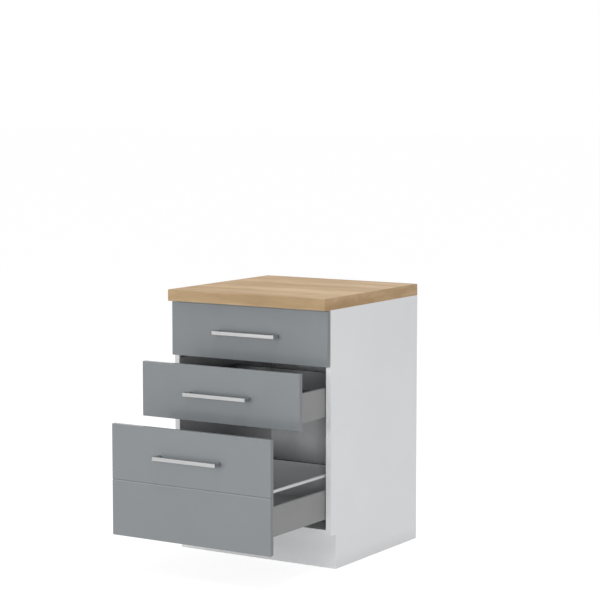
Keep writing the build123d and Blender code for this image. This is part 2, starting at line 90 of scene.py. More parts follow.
formed_sheet = 0.0015         # sheet of runner flanges, worktop angles and brackets
runner_screws_behind = (0.040, 0.296)             # behind the runner's front end
runner_screws_above = 0.012
seat_screws_behind = (0.060, 0.180, 0.300, 0.420)  # behind the steel side's front end
seat_screws_above = 0.010
bracket_screws_above = (0.052, 0.078)
bracket_screws_outward = 0.0008                   # beside the middle of the hollow side
corner_screws_above = (0.042, 0.066)
corner_screws_inward = 0.011
socket_screw_above = 0.1385                       # in the gallery rails' front sockets
socket_screw_behind = 0.002                       # their seats behind the side's front end
socket_screw_height = 0.0015                      # of their low heads
rail_screw_beside = 0.180                         # in the front top rail, beside the middle
angle_screws_beside = 0.140                       # in the worktop's angles, beside the middle
angle_screws_from_corner = 0.018
board_screw_length = 0.012
runner_screw_length = 0.0125
rail_screw_length = 0.038
angle_screw_lengths = {"up": 0.018, "back": 0.014}
handle_screw_length = 0.027


def low_high(node):
    """The lowest and highest corner of a built node, as arrays."""
    low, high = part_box(node)
    return np.array(low), np.array(high)


# ---------------------------------------------------------------- outlines
def turned(corners, back, ahead, radii, steps):
    """Arcs in place of corners, as (corner, step, 2) points with their outward directions.

    The arc's centre is on the bisector, radius / sin(half angle) from the corner. Its points
    turn evenly from one tangent point to the other, each a weighted sum of the two ends'
    radius vectors with weights sin((1-s)*sweep) and sin(s*sweep) over sin(sweep)."""
    back = (back - corners) / np.linalg.norm(back - corners, axis=1, keepdims=True)
    ahead = (ahead - corners) / np.linalg.norm(ahead - corners, axis=1, keepdims=True)
    half = np.arccos(np.clip((back * ahead).sum(1), -1, 1))[:, None] / 2
    bisector = (back + ahead) / np.linalg.norm(back + ahead, axis=1, keepdims=True)
    radii = np.broadcast_to(radii, len(corners))[:, None]
    centre = corners + bisector * radii / np.sin(half)
    first = corners + back * radii / np.tan(half) - centre
    last = corners + ahead * radii / np.tan(half) - centre
    sweep = (np.pi - 2 * half)[:, None]
    share = np.linspace(0, 1, steps)[None, :, None]
    weights = np.sin((1 - share) * sweep), np.sin(share * sweep)
    arm = (first[:, None] * weights[0] + last[:, None] * weights[1]) / np.sin(sweep)
    convex = np.sign(ahead[:, 0] * back[:, 1] - ahead[:, 1] * back[:, 0])[:, None, None]
    outward = convex * arm / np.linalg.norm(arm, axis=2, keepdims=True)
    return centre[:, None] + arm, outward


def rounded(corners, radii, steps=5):
    """A closed outline, given anticlockwise, with round corners; and its outward directions."""
    corners = np.asarray(corners, float)
    before, after = np.roll(corners, 1, axis=0), np.roll(corners, -1, axis=0)
    points, outward = turned(corners, before, after, radii, steps)
    return points.reshape(-1, 2), outward.reshape(-1, 2)


def bent_sheet(path, radii, sheet, steps=6):
    """The outline of a bent sheet: its middle line with round bends, moved half the sheet's
    thickness to one side, and back along the other side."""
    path = np.asarray(path, float)
    arcs, _ = turned(path[1:-1], path[:-2], path[2:], radii, steps)
    line = np.concatenate([path[:1], arcs.reshape(-1, 2), path[-1:]])
    run = np.gradient(line, axis=0)
    run /= np.linalg.norm(run, axis=1, keepdims=True)
    side = np.stack([run[:, 1], -run[:, 0]], axis=1) * sheet / 2
    return np.concatenate([line + side, (line - side)[::-1]])


def box_corners(low_a, high_a, low_b, high_b):
    """Four corners, anticlockwise."""
    return [(low_a, low_b), (high_a, low_b), (high_a, high_b), (low_a, high_b)]


# ---------------------------------------------------------------- surfaces
def in_space(outlines, along, axis):
    """Rings of an outline in the two other axes, each at its own place along this axis."""
    parts = [outlines[..., 0], outlines[..., 1]]
    parts.insert(axis, np.broadcast_to(along[:, None], outlines.shape[:2]))
    return np.stack(parts, axis=-1)


def tube(rings):
    """A closed surface through rings of points: quads join point j of ring i and its
    neighbour to the same two of ring i + 1, and one flat face closes each end."""
    count, size = rings.shape[:2]
    start = size * np.arange(count - 1)[:, None]
    here = np.arange(size)[None, :]
    after = (here + 1) % size
    quads = np.stack([start + here, start + after, start + size + after, start + size + here], -1)
    ends = [list(range(size))[::-1], list(range(size * (count - 1), size * count))]
    return rings.reshape(-1, 3), quads.reshape(-1, 4).tolist() + ends


def soft_board(outline, span, axis, rim, steps=4):
    """An outline carried straight along an axis, with a quarter round at both ends.

    At angle a of that quarter the outline has drawn in by rim * (1 - sin a) and moved on by
    rim * (1 - cos a)."""
    points, outward = outline
    angle = np.linspace(0, np.pi / 2, steps)
    inset = rim * (1 - np.sin(angle))
    moved = rim * (1 - np.cos(angle))
    insets = np.concatenate([inset, inset[::-1]])
    along = np.concatenate([span[0] + moved, span[1] - moved[::-1]])
    rings = points[None] - insets[:, None, None] * outward[None]
    return tube(in_space(rings, along, axis))


def straight_bar(points, span, axis):
    """An outline carried straight along an axis, cut square at both ends."""
    return tube(in_space(np.stack([points, points]), np.array(span), axis))


def screw(place, outward, length, head, height, shank, spokes=24):
    """A cross-recessed screw, on rings of angle t whose share s of the head's radius grows.

    The head's height is a low dome, height * (1 - 0.35 s^4), less 0.75 of it in the recess:
    a cross whose arms reach 0.6 of the radius and are 0.4 of it wide, with sloping walls.
    From the rim the surface goes down to the seat, in to the shank and on to a blunt point."""
    share = np.array([0.08, 0.2, 0.3, 0.4, 0.5, 0.58, 0.66, 0.8, 0.92, 0.98, 1.0])[:, None]
    turn = np.linspace(0, 2 * np.pi, spokes, endpoint=False)
    nearest = np.minimum(abs(np.cos(turn)), abs(np.sin(turn)))
    arm = np.clip((0.24 - share * nearest) / 0.08, 0, 1)
    reach = np.clip((0.66 - share) / 0.08, 0, 1)
    level = height * (1 - 0.35 * share ** 4 - 0.75 * arm * reach)
    thin = shank / head
    share = np.append(share, [1.0, thin, thin, 0.2 * thin])[:, None]
    below = np.array([0, 0, 2 * shank - length, -length])[:, None]
    level = np.concatenate([level, np.broadcast_to(below, (4, spokes))])
    across, up = np.eye(3)[[i for i in range(3) if not outward[i]]]
    rings = (np.array(place) + head * share[..., None]
             * (np.cos(turn)[:, None] * across + np.sin(turn)[:, None] * up)
             + level[..., None] * np.array(outward, float))
    return tube(rings)


# ---------------------------------------------------------------- pieces
def joined(shells):
    """Several closed surfaces as one list of points and one of faces."""
    starts = np.cumsum([0] + [len(points) for points, _ in shells])
    faces = [[i + int(start) for i in face]
             for start, (_, shell_faces) in zip(starts, shells) for face in shell_faces]
    return np.concatenate([points for points, _ in shells]), faces


def piece(name, shells, finish, body, replaces=()):
    """A mesh object of closed surfaces: faces turned outwards, curves smooth, edges crisp."""
    points, faces = joined(shells)
    mesh = bpy.data.meshes.new(name)
    mesh.from_pydata(points.tolist(), [], faces)
    work = bmesh.new()
    work.from_mesh(mesh)
    bmesh.ops.recalc_face_normals(work, faces=work.faces)
    work.to_mesh(mesh)
    work.free()
    mesh.shade_smooth()
    mesh.set_sharp_from_angle(angle=np.radians(40))
    mesh.materials.append(finish)
    made = bpy.data.objects.new(name, mesh)
    bpy.context.scene.collection.objects.link(made)
    weighted = made.modifiers.new("even_shading", "WEIGHTED_NORMAL")
    weighted.keep_sharp = True
    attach(made, body)
    if replaces:
        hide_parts(*replaces)


# ---------------------------------------------------------------- finishes
def paint(red, green, blue):
    """A colour in 0-255 display values, as the linear one that nodes take."""
    display = np.array([red, green, blue]) / 255
    linear = np.where(display <= 0.04045, display / 12.92, ((display + 0.055) / 1.055) ** 2.4)
    return (*linear.tolist(), 1.0)


class Finish:
    """A material in the making, with short ways to add and link its nodes."""

    def __init__(self, name, **surface):
        self.material = bpy.data.materials.new(name)
        self.material.use_nodes = True
        self.tree = self.material.node_tree
        self.tree.nodes.clear()
        self.shader = self.node("ShaderNodeBsdfPrincipled")
        output = self.node("ShaderNodeOutputMaterial")
        self.tree.links.new(self.shader.outputs["BSDF"], output.inputs["Surface"])
        self.place = self.node("ShaderNodeTexCoord").outputs["Object"]
        self.set(**surface)

    def node(self, kind, inputs=None, **settings):
        """A node with its settings, its inputs linked or set."""
        made = self.tree.nodes.new(kind)
        for name, value in settings.items():
            setattr(made, name, value)
        for socket, value in (inputs or {}).items():
            self.feed(made.inputs[socket], value)
        return made

    def feed(self, socket, value):
        """Links an output to a socket, or sets the socket's own value."""
        if isinstance(value, bpy.types.NodeSocket):
            self.tree.links.new(value, socket)
        else:
            socket.default_value = value

    def set(self, **surface):
        """Feeds the shader; coat_weight means its Coat Weight socket."""
        for name, value in surface.items():
            socket = name.replace("_", " ").title().replace("Ior", "IOR")
            self.feed(self.shader.inputs[socket], value)

    def stretched(self, x, y, z, turn=0.0):
        """The place scaled along each axis, after a turn about Z."""
        mapping = self.node("ShaderNodeMapping", {"Vector": self.place})
        mapping.inputs["Scale"].default_value = (x, y, z)
        mapping.inputs["Rotation"].default_value = (0, 0, turn)
        return mapping.outputs["Vector"]

    def noise(self, scale, detail=2.0, roughness=0.5, place=None, distortion=0.0, sheet=0.0):
        """Soft random patches from 0 to 1, about 1/scale metres wide; each sheet is another
        pattern of the same kind."""
        inputs = {"Vector": place or self.place, "Scale": scale, "Detail": detail,
                  "Roughness": roughness, "Distortion": distortion, "W": sheet}
        return self.node("ShaderNodeTexNoise", inputs, noise_dimensions="4D").outputs[0]

    def math(self, operation, a, b=0.0):
        """One sum on numbers."""
        return self.node("ShaderNodeMath", {0: a, 1: b}, operation=operation).outputs[0]

    def fit(self, value, low, high, to_low=0.0, to_high=1.0):
        """A value from low..high carried to another range, smoothly, and kept inside it."""
        inputs = {"Value": value, "From Min": low, "From Max": high,
                  "To Min": to_low, "To Max": to_high}
        return self.node("ShaderNodeMapRange", inputs, interpolation_type="SMOOTHSTEP").outputs[0]

    def mix(self, share, first, second):
        """Two colours mixed by a share."""
        made = self.node("ShaderNodeMix", data_type="RGBA", clamp_factor=True)
        self.feed(made.inputs[0], share)
        self.feed(made.inputs[6], first)
        self.feed(made.inputs[7], second)
        return made.outputs[2]

    def part(self, source, axis):
        """One coordinate of a vector: 0 for X, 1 for Y, 2 for Z."""
        return self.node("ShaderNodeSeparateXYZ", {0: source}).outputs[axis]

    def normal(self, axis):
        """One coordinate of the surface's own direction."""
        return self.part(self.node("ShaderNodeNewGeometry").outputs["Normal"], axis)

    def edges(self, radius):
        """1 on a band of this width along sharp edges, 0 on flats: how far the direction
        averaged over the radius turns from the surface's own."""
        soft = self.node("ShaderNodeBevel", {"Radius": radius}, samples=4).outputs["Normal"]
        own = self.node("ShaderNodeNewGeometry").outputs["Normal"]
        dot = self.node("ShaderNodeVectorMath", {0: soft, 1: own}, operation="DOT_PRODUCT")
        return self.fit(dot.outputs["Value"], 0.99, 0.80)

    def bump(self, height, distance, strength=1.0):
        """A surface direction tilted by a height pattern of this depth."""
        inputs = {"Height": height, "Distance": distance, "Strength": strength}
        return self.node("ShaderNodeBump", inputs).outputs["Normal"]


def chips(f):
    """Pressed chips on a cut edge: flat flakes of several browns with dark gaps."""
    flakes = f.node("ShaderNodeTexVoronoi", {"Vector": f.stretched(1, 1, 2.2), "Scale": 380.0})
    grit = f.noise(1500.0, 3, 0.7)
    tone = f.mix(f.part(flakes.outputs["Color"], 0), paint(196, 168, 128), paint(150, 118, 80))
    tone = f.mix(f.fit(grit, 0.55, 0.75), tone, paint(112, 84, 54))
    return tone, f.math("ADD", flakes.outputs["Distance"], grit)


def white_melamine():
    """White board, with a painted shade that turns it light grey where it faces the inside of the
    carcass: a fine pearl grain, faintly uneven tone, edges a touch lighter (part wear, part a
    painted highlight), dust near the floor, and bare chips on the side panels' rear edges and on
    whatever stands on the floor."""
    wall, front = low_high("side_panel_right")[0][:2]
    inner_floor = low_high("bottom_panel")[1][2]
    f = Finish("white_melamine", ior=1.5)
    patches = f.noise(5.0, 3)
    pearl = f.noise(900.0, 3, 0.6)
    tone = f.mix(f.fit(patches, 0.35, 0.65), paint(234, 235, 237), paint(236, 237, 239))
    # edges a touch lighter: partly wear, partly a painted highlight
    worn_and_highlit = f.mix(f.edges(0.0012), tone, paint(240, 241, 242))
    dust = f.math("MULTIPLY", f.fit(f.part(f.place, 2), 0.05, 0.0), f.noise(60.0, 4))
    across = f.math("ABSOLUTE", f.part(f.place, 0))
    between = f.fit(across, wall + 0.0006, wall + 0.0002)
    behind = f.fit(f.part(f.place, 1), front + 0.0002, front + 0.0008)
    above = f.fit(f.part(f.place, 2), inner_floor - 0.005, inner_floor - 0.001)
    # painted shade: faces inside the carcass, behind its front and above its floor, turn light grey
    inside = f.math("MULTIPLY", f.math("MULTIPLY", between, behind), above)
    painted_inside_shade = f.mix(inside, worn_and_highlit, paint(200, 200, 202))
    dusty = f.mix(f.math("MULTIPLY", dust, 0.25), painted_inside_shade, paint(176, 172, 165))
    outer = f.fit(across, wall - 0.0005, wall + 0.0005)
    rear = f.math("MULTIPLY", f.fit(f.normal(1), 0.4, 0.6), outer)
    lowest = f.fit(f.part(f.place, 2), 0.002, 0.001)
    foot = f.math("MULTIPLY", f.fit(f.normal(2), -0.4, -0.6), lowest)
    cut = f.math("MAXIMUM", rear, foot)
    bare, flakes = chips(f)
    relief = f.math("ADD", pearl, f.math("MULTIPLY", f.math("MULTIPLY", cut, flakes), 4.0))
    rough = f.fit(pearl, 0.3, 0.7, 0.34, 0.46)
    f.set(base_color=f.mix(cut, dusty, bare),
          roughness=f.math("ADD", rough, f.math("MULTIPLY", cut, 0.45)),
          normal=f.bump(relief, 0.00004, 0.5))
    return f.material


def hardboard_sheet():
    """Hardboard: lacquered light towards the drawers, bare brown fibre towards the wall."""
    f = Finish("hardboard_sheet", ior=1.45)
    outside = f.fit(f.normal(1), 0.4, 0.6)
    fibre = f.noise(700.0, 6, 0.7, f.stretched(1.0, 1.0, 0.35), 1.2)
    clouds = f.noise(9.0, 4, 0.6)
    bare = f.mix(f.fit(fibre, 0.3, 0.7), paint(132, 100, 70), paint(172, 138, 101))
    bare = f.mix(f.math("MULTIPLY", f.fit(clouds, 0.4, 0.7), 0.35), bare, paint(146, 110, 77))
    lacquer = f.mix(f.fit(clouds, 0.35, 0.65), paint(243, 244, 246), paint(248, 249, 250))
    f.set(base_color=f.mix(outside, lacquer, bare),
          roughness=f.fit(outside, 0.0, 1.0, 0.42, 0.85),
          normal=f.bump(fibre, 0.00010, 0.5))
    return f.material


def oak(name, turn, sheet, cut):
    """Oak decor with its grain along X, or along Y after a quarter turn, its broad bands from
    the given sheet. Where it is cut, the rear edge is bare chips and the underside has its pale
    balancing paper.

    Broad tone bands, smaller patches, cathedral lines from wavy rings, fine lines and short
    dark pores, all stretched along the grain and bent by one slow wobble. A painted shade makes
    the front edge a touch darker, and a painted highlight makes the edges a touch paler."""
    f = Finish(name, ior=1.45)
    slow = f.noise(2.3, 2, 0.5, f.stretched(0.5, 2.2, 2.2, turn))
    shift = f.node("ShaderNodeCombineXYZ", {1: f.math("MULTIPLY", slow, 0.06)}).outputs[0]
    flowing = f.node("ShaderNodeVectorMath", {0: f.stretched(1, 1, 1, turn), 1: shift},
                     operation="ADD").outputs[0]

    def along(x, y, z):
        return f.node("ShaderNodeVectorMath", {0: flowing, 1: (x, y, z)},
                      operation="MULTIPLY").outputs[0]

    bands = f.noise(1.0, 3, 0.5, along(1.2, 11, 11), sheet=sheet)
    patches = f.noise(1.0, 3, 0.55, along(9, 40, 40))
    lines = f.noise(1.0, 4, 0.65, along(5.0, 190, 190))
    rings = f.node("ShaderNodeTexWave", {"Vector": along(0.7, 11, 11), "Scale": 2.6,
                   "Distortion": 7.0, "Detail": 3.0, "Detail Scale": 1.4},
                   wave_type="BANDS", bands_direction="Y").outputs[1]
    pores = f.noise(1.0, 2, 0.5, along(45, 1500, 1500))
    tone = f.mix(f.fit(bands, 0.36, 0.62), paint(211, 181, 142), paint(179, 148, 109))
    tone = f.mix(f.math("MULTIPLY", f.fit(rings, 0.45, 0.95), 0.35), tone, paint(175, 141, 103))
    tone = f.mix(f.math("MULTIPLY", f.fit(patches, 0.42, 0.68), 0.5), tone, paint(167, 137, 99))
    tone = f.mix(f.math("MULTIPLY", f.fit(lines, 0.45, 0.72), 0.4), tone, paint(170, 137, 99))
    dark_pores = f.fit(pores, 0.60, 0.74)
    tone = f.mix(f.math("MULTIPLY", dark_pores, 0.5), tone, paint(135, 105, 70))
    # painted shade: faces turned to the front a touch darker
    tone = f.mix(f.fit(f.normal(1), -0.5, -0.9, 0.0, 0.27), tone, paint(134, 122, 99))
    # painted highlight: edges a touch paler
    tone = f.mix(f.math("MULTIPLY", f.edges(0.0015), 0.3), tone, paint(200, 178, 142))
    relief = f.math("SUBTRACT", f.math("MULTIPLY", lines, 0.3), dark_pores)
    if cut:
        bare, flakes = chips(f)
        rear = f.fit(f.normal(1), 0.4, 0.6)
        paper = f.mix(f.noise(500.0, 4, 0.7), paint(186, 180, 168), paint(168, 161, 148))
        tone = f.mix(f.fit(f.normal(2), -0.4, -0.6), f.mix(rear, tone, bare), paper)
        relief = f.math("ADD", relief, f.math("MULTIPLY", f.math("MULTIPLY", rear, flakes), 4.0))
    f.set(base_color=tone,
          specular_ior_level=0.25,
          roughness=f.fit(lines, 0.3, 0.7, 0.56, 0.68),
          normal=f.bump(relief, 0.00005, 0.5))
    return f.material


def grey_lacquer():
    """Grey lacquer: glossy with a trace of orange peel in front and duller on the inner face.
    Painted shade darkens the ends and what slopes down; painted highlight lightens the edges
    and what slopes up, such as the milled line's lower side."""
    f = Finish("grey_lacquer", ior=1.5)
    haze = f.noise(14.0, 3)
    behind = f.fit(f.normal(1), 0.5, 0.9, 0.0, 0.3)
    peel = f.noise(240.0, 2, 0.4)
    tone = f.mix(f.fit(haze, 0.35, 0.65), paint(128, 133, 136), paint(129, 134, 137))
    # painted highlight: edges a touch lighter
    tone = f.mix(f.math("MULTIPLY", f.edges(0.0012), 0.4), tone, paint(138, 143, 146))
    # painted highlight on what slopes up, painted shade on what slopes down
    for side, shade in ((1.0, paint(145, 150, 153)), (-1.0, paint(112, 116, 119))):
        slant = f.math("MULTIPLY", f.normal(2), side)
        painted_slope_light_and_shade = f.math("MULTIPLY", f.fit(slant, 0.40, 0.54), f.fit(slant, 0.9, 0.7))
        tone = f.mix(painted_slope_light_and_shade, tone, shade)
    # painted shade: the ends, facing left and right, darker
    ends = f.fit(f.math("ABSOLUTE", f.normal(0)), 0.5, 0.9)
    tone = f.mix(ends, tone, paint(120, 124, 127))
    f.set(base_color=tone,
          roughness=f.math("ADD", behind, f.fit(haze, 0.3, 0.7, 0.17, 0.21)),
          normal=f.bump(peel, 0.00002, 0.25))
    return f.material


def brushed_bar():
    """Brushed steel bar: fine lines along it, bright in front, with a painted shade that makes
    the sides darker."""
    f = Finish("brushed_bar", metallic=1.0)
    brush = f.noise(1.0, 3, 0.7, f.stretched(12, 4000, 4000))
    smear = f.noise(1.0, 3, 0.6, f.stretched(25, 300, 300))
    facing = f.fit(f.normal(1), -0.3, -0.9)
    tone = f.mix(f.fit(smear, 0.3, 0.7), paint(181, 181, 181), paint(187, 187, 187))
    # painted shade: the sides' darker tone
    dull = f.mix(f.fit(smear, 0.3, 0.7), paint(176, 177, 180), paint(183, 184, 187))
    tone = f.mix(facing, dull, tone)
    f.set(base_color=f.mix(f.math("MULTIPLY", brush, 0.25), tone, paint(148, 148, 149)),
          roughness=f.fit(brush, 0.25, 0.75, 0.26, 0.40),
          normal=f.bump(brush, 0.000015, 0.6))
    return f.material


def powder_coat():
    """Grey powder coat on steel: a fine pebble, a satin sheen and a painted highlight on the edges.
    """
    f = Finish("powder_coat", ior=1.5)
    pebble = f.noise(1100.0, 2, 0.5)
    haze = f.noise(8.0, 2)
    tone = f.mix(f.fit(haze, 0.35, 0.65), paint(135, 135, 135), paint(140, 140, 140))
    # painted highlight: edges lighter
    f.set(base_color=f.mix(f.math("MULTIPLY", f.edges(0.0008), 0.6), tone, paint(158, 158, 158)),
          roughness=f.fit(pebble, 0.3, 0.7, 0.40, 0.52),
          normal=f.bump(pebble, 0.00005, 0.6))
    return f.material


def zinc_plate(name, tone_low, tone_high):
    """Zinc plate: faint spangles, drawn lines along Y and a few dull patches."""
    f = Finish(name, metallic=1.0)
    spangle = f.node("ShaderNodeTexVoronoi", {"Scale": 260.0, "Vector": f.place})
    drawn = f.noise(1.0, 3, 0.7, f.stretched(3500, 14, 3500))
    dull = f.noise(30.0, 4, 0.6)
    tone = f.mix(f.part(spangle.outputs["Color"], 0), tone_low, tone_high)
    f.set(base_color=f.mix(f.math("MULTIPLY", f.fit(dull, 0.5, 0.7), 0.3), tone, tone_low),
          roughness=f.fit(f.math("ADD", drawn, dull), 0.6, 1.4, 0.28, 0.46),
          normal=f.bump(drawn, 0.00002, 0.5))
    return f.material


def drawer_melamine():
    """Grey melamine of the drawers' bottoms and backs: a fine fabric-like press grain."""
    f = Finish("drawer_melamine", ior=1.5)
    weft = f.noise(1.0, 2, 0.5, f.stretched(1800, 1800, 260))
    warp = f.noise(1.0, 2, 0.5, f.stretched(260, 260, 1800))
    press = f.math("ADD", weft, warp)
    haze = f.noise(7.0, 3)
    tone = f.mix(f.fit(haze, 0.35, 0.65), paint(174, 175, 177), paint(180, 181, 183))
    f.set(base_color=f.mix(f.fit(press, 0.7, 1.3, 0.0, 0.15), tone, paint(160, 161, 163)),
          roughness=0.5,
          normal=f.bump(press, 0.00004, 0.5))
    return f.material


def painted_shadow_edging():
    """Plastic edging on the drawer backs' top edges, dark grey as a painted shadow line."""
    f = Finish("painted_shadow_edging", ior=1.47)
    grain = f.noise(1300.0, 2)
    # painted shadow: the edging's dark grey
    f.set(base_color=f.mix(grain, paint(92, 93, 95), paint(104, 105, 107)),
          roughness=f.fit(grain, 0.3, 0.7, 0.45, 0.6),
          normal=f.bump(grain, 0.00003))
    return f.material


def beech():
    """Beech dowels: short flecks along X on a warm pale ground."""
    f = Finish("beech_dowel", roughness=0.7)
    fleck = f.noise(1.0, 3, 0.6, f.stretched(90, 1100, 1100))
    f.set(base_color=f.mix(f.fit(fleck, 0.4, 0.7), paint(214, 180, 140), paint(176, 136, 96)),
          normal=f.bump(fleck, 0.0001))
    return f.material


def cast_zinc():
    """Cast cam drums and pressed brackets: a dull grey with casting grain."""
    f = Finish("cast_zinc", metallic=1.0)
    grain = f.noise(1400.0, 4, 0.6)
    patch = f.noise(120.0, 3)
    f.set(base_color=f.mix(f.fit(patch, 0.35, 0.65), paint(150, 151, 153), paint(172, 173, 174)),
          roughness=f.fit(grain, 0.3, 0.7, 0.38, 0.55),
          normal=f.bump(grain, 0.00005))
    return f.material


def satin_rail():
    """The round gallery rails: light satin lacquer on steel, drawn along Y."""
    f = Finish("satin_rail", ior=1.5, metallic=0.0, coat_weight=0.3, coat_roughness=0.1)
    drawn = f.noise(1.0, 3, 0.6, f.stretched(1600, 9, 1600))
    f.set(base_color=f.mix(drawn, paint(204, 204, 205), paint(214, 214, 215)),
          roughness=f.fit(drawn, 0.3, 0.7, 0.28, 0.38),
          normal=f.bump(drawn, 0.00002, 0.4))
    return f.material


def moulded_plastic():
    """Grey moulded plastic of the rail holders: spark-eroded grain."""
    f = Finish("moulded_plastic", ior=1.47)
    grain = f.noise(1600.0, 3, 0.6)
    f.set(base_color=f.mix(grain, paint(134, 135, 137), paint(146, 147, 149)),
          roughness=f.fit(grain, 0.3, 0.7, 0.42, 0.58),
          normal=f.bump(grain, 0.00006))
    return f.material


white = white_melamine()
finishes = {
    "white_board": white,
    "hardboard": hardboard_sheet(),
    "oak_worktop": oak("oak_decor", 0.0, 3.0, True),
    "grey_front": grey_lacquer(),
    "handle_steel": brushed_bar(),
    "grey_steel": powder_coat(),
    "runner_steel": zinc_plate("runner_zinc", paint(172, 174, 178), paint(190, 192, 195)),
    "drawer_board": drawer_melamine(),
    "beech": beech(),
    "zinc": cast_zinc(),
    "rail_steel": satin_rail(),
    "holder_plastic": moulded_plastic(),
    "screw_steel": zinc_plate("screw_zinc", paint(182, 182, 184), paint(204, 204, 205)),
}
oak_ends = oak("oak_end_decor", np.pi / 2, 5.0, False)
painted_shadow_edge = painted_shadow_edging()


def dress_built_nodes():
    """Gives every built node the finish of its own material slot."""
    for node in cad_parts.values():
        for place in node.material_slots:
            place.material = finishes[place.material.name]


# ---------------------------------------------------------------- worktop
def worktop():
    """The slab: its section across Y and Z, round at the front, carried along X; and the two
    end strips with the same section, their outer rims just eased."""
    low, high = low_high("worktop_board")
    section = box_corners(low[1], high[1], low[2], high[2])
    radii = (worktop_round, worktop_back_round, worktop_back_round, worktop_round)
    outline = rounded(section, radii, 8)
    slab = straight_bar(outline[0], (low[0], high[0]), 0)
    piece("oak_worktop_slab", [slab], finishes["oak_worktop"], "carcass",
          ["worktop_board"])
    outermost = low_high("worktop_end_strips")[1][0]
    strips = [soft_board(outline, sorted((side * high[0], side * outermost)), 0, end_rim)
              for side in HANDS.values()]
    piece("oak_end_edging", strips, oak_ends, "carcass", ["worktop_end_strips"])


# ---------------------------------------------------------------- fronts and bars
def front_outline(low, high, grooved):
    """A front's section across Y and Z; the tall one has a V milled into its face."""
    corners = box_corners(low[1], high[1], low[2], high[2])
    radii = [front_round] * 4
    if grooved:
        face = low[1]
        corners += [(face, groove_level + groove_half_width),
                    (face + groove_depth, groove_level),
                    (face, groove_level - groove_half_width)]
        radii += [front_round, front_round / 2, front_round]
    return rounded(corners, np.array(radii), 6)


def fronts_and_bars():
    """Each front is its section carried along X with round ends. Each bar handle is the
    outline of a bow seen from above, carried along Z with round rims."""
    for k in DRAWERS:
        low, high = low_high(f"drawer_{k}_front")
        outline = front_outline(low, high, grooved=low[2] < groove_level < high[2])
        board = soft_board(outline, (low[0], high[0]), 0, front_round, 5)
        piece(f"grey_front_{k}", [board], finishes["grey_front"], f"drawer_{k}",
              [f"drawer_{k}_front"])
        low, high = low_high(f"drawer_{k}_handle")
        left, right, inner = low[0] + bar_section, high[0] - bar_section, low[1] + bar_section
        bow = [(low[0], low[1]), (high[0], low[1]), (high[0], high[1]), (right, high[1]),
               (right, inner), (left, inner), (left, high[1]), (low[0], high[1])]
        rim = bar_round * 0.99    # a little under the corners' radius, so that none closes up
        bar = soft_board(rounded(bow, bar_round, 5), (low[2], high[2]), 2, rim, 5)
        piece(f"bar_handle_{k}", [bar], finishes["handle_steel"], f"drawer_{k}",
              [f"drawer_{k}_handle"])


# ---------------------------------------------------------------- drawer boxes
def steel_side(k, hand):
    """One steel side: the bent sheet's section across X and Z carried along Y, with the two
    lips of its ball track inside the hollow."""
    low, high = low_high(f"drawer_{k}_side_{hand}")
    side = HANDS[hand]
    outer = abs(high[0] if side > 0 else low[0]) - steel_sheet / 2
    inner = outer - side_width + steel_sheet
    base, top = low[2], high[2] - steel_sheet / 2
    path = np.array([(inner - seat_flange + steel_sheet / 2, base + seat_level),
                     (inner, base + seat_level), (inner, top), (outer, top), (outer, base)])
    bends = np.array([seat_bend, side_bend, side_bend])
    section = bent_sheet(path, bends, steel_sheet) * (side, 1)
    shells = [straight_bar(section, (low[1], high[1]), 1)]
    lip_from = inner + steel_sheet / 2
    for level in track_lips:
        lip = box_corners(lip_from, lip_from + track_lip_reach - steel_sheet,
                          base + level - track_lip_sheet / 2, base + level + track_lip_sheet / 2)
        lip = rounded(np.array(lip) * (side, 1), track_lip_round, 3)[0]
        shells.append(straight_bar(lip, (low[1], high[1]), 1))
    piece(f"steel_side_{k}_{hand}", shells, finishes["grey_steel"], f"drawer_{k}",
          [f"drawer_{k}_side_{hand}"])


def back_shadow_edging(k):
    """The strip on a drawer back's top edge, dark grey as a painted shadow line."""
    low, high = low_high(f"drawer_{k}_back")
    corners = box_corners(low[1] + strip_inset, high[1] - strip_inset,
                          high[2] - edge_band, high[2] + edge_band)
    ends = (low[0] + strip_rim, high[0] - strip_rim)
    strip = soft_board(rounded(corners, strip_round, 4), ends, 0, strip_rim)
    piece(f"back_shadow_edging_{k}", [strip], painted_shadow_edge, f"drawer_{k}")


def gallery_rails():
    """The round rails: a circle across X and Z carried along Y, its rims eased."""
    for hand in HANDS:
        low, high = low_high(f"gallery_rail_{hand}")
        radius = (high[0] - low[0]) / 2
        almost = radius * 0.9999    # four corners this round meet without doubled points
        circle = rounded(box_corners(low[0], high[0], low[2], high[2]), almost, 10)
        rail = soft_board(circle, (low[1], high[1]), 1, rail_rim)
        piece(f"round_rail_{hand}", [rail], finishes["rail_steel"], "drawer_3",
              [f"gallery_rail_{hand}"])


# ---------------------------------------------------------------- carcass edge bands
def band(name, low, high, axis):
    """A thin plastic strip along a board's visible edge, its long corners eased."""
    others = [i for i in range(3) if i != axis]
    corners = box_corners(low[others[0]], high[others[0]], low[others[1]], high[others[1]])
    strip = soft_board(rounded(corners, strip_round, 4), (low[axis], high[axis]), axis, strip_rim)
    piece(name, [strip], white, "carcass")


def edge_bands():
    """Bands on the front edges of the side panels, the bottom panel and the front rail."""
    toe = low_high("bottom_panel")[0][2]
    for hand in HANDS:
        low, high = low_high(f"side_panel_{hand}")
        first, last = low[1] - edge_band, low[1] + band_lap
        band(f"side_edge_band_{hand}", (low[0], first, toe), (high[0], last, high[2]), 2)
    for name in ("bottom_panel", "top_rail_front"):
        low, high = low_high(name)
        first, last = low[1] - edge_band, low[1] + band_lap
        band(f"{name}_edge_band", (low[0], first, low[2]), (high[0], last, high[2]), 0)


# ---------------------------------------------------------------- screws
def screw_set(name, body, replaces, rows, finish="screw_steel"):
    """Screws as one piece. A row has their places on the right, the way that the heads face,
    their length and their kind; each has its mirror image on the left."""
    shells = [screw((side * x, y, z), (side * outward[0], *outward[1:]), length, **kind)
              for places, outward, length, kind in rows
              for x, y, z in places for side in HANDS.values()]
    piece(name, shells, finishes[finish], body, replaces)


